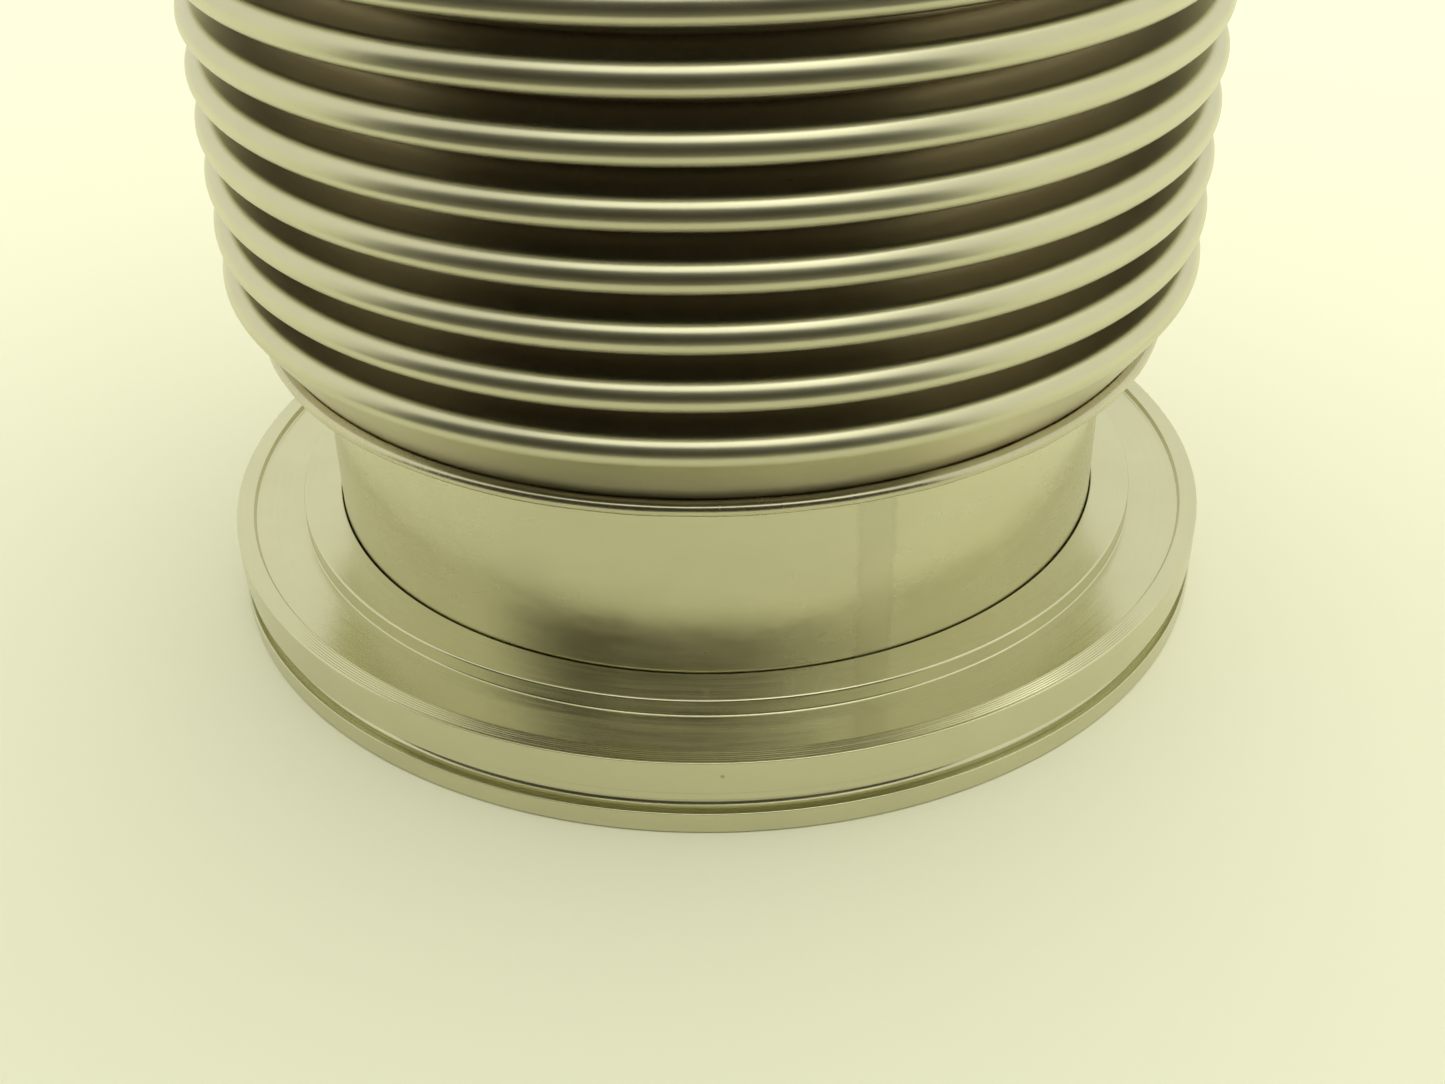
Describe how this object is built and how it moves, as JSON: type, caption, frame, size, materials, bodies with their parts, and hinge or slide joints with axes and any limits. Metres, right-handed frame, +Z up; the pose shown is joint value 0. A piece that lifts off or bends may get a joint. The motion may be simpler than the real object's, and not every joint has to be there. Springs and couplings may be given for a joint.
{
  "type": "metal bellows expansion joint",
  "caption": "Straight corrugated metal bellows with a tube stub and a flat clamp flange at each end, for joining two round pipe ends that move or don't line up.",
  "frame": {"origin": "centre of the lower flange's sealing face, where the joint stands", "axes": "+Z up along the bellows' axis; X and Y are free choices, because every piece is round"},
  "size_m": [0.13, 0.13, 0.1873],
  "materials": {
    "machined_stainless": "fine turned",
    "drawn_tube": "satin",
    "formed_sheet": "bright rolled",
    "weld_bead": "clean, unground"
  },
  "bodies": {
    "lower_end": {"lower_flange": "machined_stainless", "lower_flange_weld": "weld_bead", "lower_tube": "drawn_tube", "lower_collar": "machined_stainless", "lower_collar_weld": "weld_bead", "lower_edge_weld": "weld_bead", "lower_bellows_cuff": "formed_sheet"},
    "crest_01": {"crest_01": "formed_sheet"},
    "root_01": {"root_01": "formed_sheet"},
    "crest_02": {"crest_02": "formed_sheet"},
    "root_02": {"root_02": "formed_sheet"},
    "crest_03": {"crest_03": "formed_sheet"},
    "root_03": {"root_03": "formed_sheet"},
    "crest_04": {"crest_04": "formed_sheet"},
    "root_04": {"root_04": "formed_sheet"},
    "crest_05": {"crest_05": "formed_sheet"},
    "root_05": {"root_05": "formed_sheet"},
    "crest_06": {"crest_06": "formed_sheet"},
    "root_06": {"root_06": "formed_sheet"},
    "crest_07": {"crest_07": "formed_sheet"},
    "root_07": {"root_07": "formed_sheet"},
    "crest_08": {"crest_08": "formed_sheet"},
    "root_08": {"root_08": "formed_sheet"},
    "crest_09": {"crest_09": "formed_sheet"},
    "root_09": {"root_09": "formed_sheet"},
    "crest_10": {"crest_10": "formed_sheet"},
    "root_10": {"root_10": "formed_sheet"},
    "crest_11": {"crest_11": "formed_sheet"},
    "root_11": {"root_11": "formed_sheet"},
    "crest_12": {"crest_12": "formed_sheet"},
    "root_12": {"root_12": "formed_sheet"},
    "crest_13": {"crest_13": "formed_sheet"},
    "root_13": {"root_13": "formed_sheet"},
    "crest_14": {"crest_14": "formed_sheet"},
    "root_14": {"root_14": "formed_sheet"},
    "crest_15": {"crest_15": "formed_sheet"},
    "root_15": {"root_15": "formed_sheet"},
    "crest_16": {"crest_16": "formed_sheet"},
    "upper_end": {"upper_flange": "machined_stainless", "upper_flange_weld": "weld_bead", "upper_tube": "drawn_tube", "upper_collar": "machined_stainless", "upper_collar_weld": "weld_bead", "upper_edge_weld": "weld_bead", "upper_bellows_cuff": "formed_sheet"}
  },
  "joints": [
    {"name": "stretch_01", "type": "slide", "parent": "lower_end", "child": "crest_01", "axis": [0, 0, 1], "range_m": [-0.0015, 0.0005], "stiffness_N_per_m": 160000},
    {"name": "lower_bend_x_1", "type": "hinge", "parent": "crest_01", "child": "root_01", "pos_m": [0, 0, 0.04759], "axis": [1, 0, 0], "range_deg": [-0.75, 0.75], "stiffness_Nm_per_rad": 130},
    {"name": "stretch_02", "type": "slide", "parent": "root_01", "child": "crest_02", "axis": [0, 0, 1], "range_m": [-0.0015, 0.0005], "stiffness_N_per_m": 160000},
    {"name": "lower_bend_y_1", "type": "hinge", "parent": "crest_02", "child": "root_02", "pos_m": [0, 0, 0.05394], "axis": [0, 1, 0], "range_deg": [-0.75, 0.75], "stiffness_Nm_per_rad": 130},
    {"name": "stretch_03", "type": "slide", "parent": "root_02", "child": "crest_03", "axis": [0, 0, 1], "range_m": [-0.0015, 0.0005], "stiffness_N_per_m": 160000},
    {"name": "lower_bend_x_2", "type": "hinge", "parent": "crest_03", "child": "root_03", "pos_m": [0, 0, 0.06029], "axis": [1, 0, 0], "range_deg": [-0.75, 0.75], "stiffness_Nm_per_rad": 130},
    {"name": "stretch_04", "type": "slide", "parent": "root_03", "child": "crest_04", "axis": [0, 0, 1], "range_m": [-0.0015, 0.0005], "stiffness_N_per_m": 160000},
    {"name": "lower_bend_y_2", "type": "hinge", "parent": "crest_04", "child": "root_04", "pos_m": [0, 0, 0.06664], "axis": [0, 1, 0], "range_deg": [-0.75, 0.75], "stiffness_Nm_per_rad": 130},
    {"name": "stretch_05", "type": "slide", "parent": "root_04", "child": "crest_05", "axis": [0, 0, 1], "range_m": [-0.0015, 0.0005], "stiffness_N_per_m": 160000},
    {"name": "lower_bend_x_3", "type": "hinge", "parent": "crest_05", "child": "root_05", "pos_m": [0, 0, 0.07299], "axis": [1, 0, 0], "range_deg": [-0.75, 0.75], "stiffness_Nm_per_rad": 130},
    {"name": "stretch_06", "type": "slide", "parent": "root_05", "child": "crest_06", "axis": [0, 0, 1], "range_m": [-0.0015, 0.0005], "stiffness_N_per_m": 160000},
    {"name": "lower_bend_y_3", "type": "hinge", "parent": "crest_06", "child": "root_06", "pos_m": [0, 0, 0.07934], "axis": [0, 1, 0], "range_deg": [-0.75, 0.75], "stiffness_Nm_per_rad": 130},
    {"name": "stretch_07", "type": "slide", "parent": "root_06", "child": "crest_07", "axis": [0, 0, 1], "range_m": [-0.0015, 0.0005], "stiffness_N_per_m": 160000},
    {"name": "lower_bend_x_4", "type": "hinge", "parent": "crest_07", "child": "root_07", "pos_m": [0, 0, 0.08569], "axis": [1, 0, 0], "range_deg": [-0.75, 0.75], "stiffness_Nm_per_rad": 130},
    {"name": "stretch_08", "type": "slide", "parent": "root_07", "child": "crest_08", "axis": [0, 0, 1], "range_m": [-0.0015, 0.0005], "stiffness_N_per_m": 160000},
    {"name": "lower_bend_y_4", "type": "hinge", "parent": "crest_08", "child": "root_08", "pos_m": [0, 0, 0.09204], "axis": [0, 1, 0], "range_deg": [-0.75, 0.75], "stiffness_Nm_per_rad": 130},
    {"name": "stretch_09", "type": "slide", "parent": "root_08", "child": "crest_09", "axis": [0, 0, 1], "range_m": [-0.0015, 0.0005], "stiffness_N_per_m": 160000},
    {"name": "upper_bend_x_1", "type": "hinge", "parent": "crest_09", "child": "root_09", "pos_m": [0, 0, 0.09839], "axis": [1, 0, 0], "range_deg": [-0.75, 0.75], "stiffness_Nm_per_rad": 130},
    {"name": "stretch_10", "type": "slide", "parent": "root_09", "child": "crest_10", "axis": [0, 0, 1], "range_m": [-0.0015, 0.0005], "stiffness_N_per_m": 160000},
    {"name": "upper_bend_y_1", "type": "hinge", "parent": "crest_10", "child": "root_10", "pos_m": [0, 0, 0.10474], "axis": [0, 1, 0], "range_deg": [-0.75, 0.75], "stiffness_Nm_per_rad": 130},
    {"name": "stretch_11", "type": "slide", "parent": "root_10", "child": "crest_11", "axis": [0, 0, 1], "range_m": [-0.0015, 0.0005], "stiffness_N_per_m": 160000},
    {"name": "upper_bend_x_2", "type": "hinge", "parent": "crest_11", "child": "root_11", "pos_m": [0, 0, 0.11109], "axis": [1, 0, 0], "range_deg": [-0.75, 0.75], "stiffness_Nm_per_rad": 130},
    {"name": "stretch_12", "type": "slide", "parent": "root_11", "child": "crest_12", "axis": [0, 0, 1], "range_m": [-0.0015, 0.0005], "stiffness_N_per_m": 160000},
    {"name": "upper_bend_y_2", "type": "hinge", "parent": "crest_12", "child": "root_12", "pos_m": [0, 0, 0.11744], "axis": [0, 1, 0], "range_deg": [-0.75, 0.75], "stiffness_Nm_per_rad": 130},
    {"name": "stretch_13", "type": "slide", "parent": "root_12", "child": "crest_13", "axis": [0, 0, 1], "range_m": [-0.0015, 0.0005], "stiffness_N_per_m": 160000},
    {"name": "upper_bend_x_3", "type": "hinge", "parent": "crest_13", "child": "root_13", "pos_m": [0, 0, 0.12379], "axis": [1, 0, 0], "range_deg": [-0.75, 0.75], "stiffness_Nm_per_rad": 130},
    {"name": "stretch_14", "type": "slide", "parent": "root_13", "child": "crest_14", "axis": [0, 0, 1], "range_m": [-0.0015, 0.0005], "stiffness_N_per_m": 160000},
    {"name": "upper_bend_y_3", "type": "hinge", "parent": "crest_14", "child": "root_14", "pos_m": [0, 0, 0.13014], "axis": [0, 1, 0], "range_deg": [-0.75, 0.75], "stiffness_Nm_per_rad": 130},
    {"name": "stretch_15", "type": "slide", "parent": "root_14", "child": "crest_15", "axis": [0, 0, 1], "range_m": [-0.0015, 0.0005], "stiffness_N_per_m": 160000},
    {"name": "upper_bend_x_4", "type": "hinge", "parent": "crest_15", "child": "root_15", "pos_m": [0, 0, 0.13649], "axis": [1, 0, 0], "range_deg": [-0.75, 0.75], "stiffness_Nm_per_rad": 130},
    {"name": "stretch_16", "type": "slide", "parent": "root_15", "child": "crest_16", "axis": [0, 0, 1], "range_m": [-0.0015, 0.0005], "stiffness_N_per_m": 160000},
    {"name": "upper_bend_y_4", "type": "hinge", "parent": "crest_16", "child": "upper_end", "pos_m": [0, 0, 0.14284], "axis": [0, 1, 0], "range_deg": [-0.75, 0.75], "stiffness_Nm_per_rad": 130}
  ],
  "couplings": [
    {"joint": "stretch_02", "follows": "stretch_01", "ratio": 1},
    {"joint": "stretch_03", "follows": "stretch_01", "ratio": 1},
    {"joint": "lower_bend_x_2", "follows": "lower_bend_x_1", "ratio": 1},
    {"joint": "stretch_04", "follows": "stretch_01", "ratio": 1},
    {"joint": "lower_bend_y_2", "follows": "lower_bend_y_1", "ratio": 1},
    {"joint": "stretch_05", "follows": "stretch_01", "ratio": 1},
    {"joint": "lower_bend_x_3", "follows": "lower_bend_x_1", "ratio": 1},
    {"joint": "stretch_06", "follows": "stretch_01", "ratio": 1},
    {"joint": "lower_bend_y_3", "follows": "lower_bend_y_1", "ratio": 1},
    {"joint": "stretch_07", "follows": "stretch_01", "ratio": 1},
    {"joint": "lower_bend_x_4", "follows": "lower_bend_x_1", "ratio": 1},
    {"joint": "stretch_08", "follows": "stretch_01", "ratio": 1},
    {"joint": "lower_bend_y_4", "follows": "lower_bend_y_1", "ratio": 1},
    {"joint": "stretch_09", "follows": "stretch_01", "ratio": 1},
    {"joint": "stretch_10", "follows": "stretch_01", "ratio": 1},
    {"joint": "stretch_11", "follows": "stretch_01", "ratio": 1},
    {"joint": "upper_bend_x_2", "follows": "upper_bend_x_1", "ratio": 1},
    {"joint": "stretch_12", "follows": "stretch_01", "ratio": 1},
    {"joint": "upper_bend_y_2", "follows": "upper_bend_y_1", "ratio": 1},
    {"joint": "stretch_13", "follows": "stretch_01", "ratio": 1},
    {"joint": "upper_bend_x_3", "follows": "upper_bend_x_1", "ratio": 1},
    {"joint": "stretch_14", "follows": "stretch_01", "ratio": 1},
    {"joint": "upper_bend_y_3", "follows": "upper_bend_y_1", "ratio": 1},
    {"joint": "stretch_15", "follows": "stretch_01", "ratio": 1},
    {"joint": "upper_bend_x_4", "follows": "upper_bend_x_1", "ratio": 1},
    {"joint": "stretch_16", "follows": "stretch_01", "ratio": 1},
    {"joint": "upper_bend_y_4", "follows": "upper_bend_y_1", "ratio": 1}
  ]
}
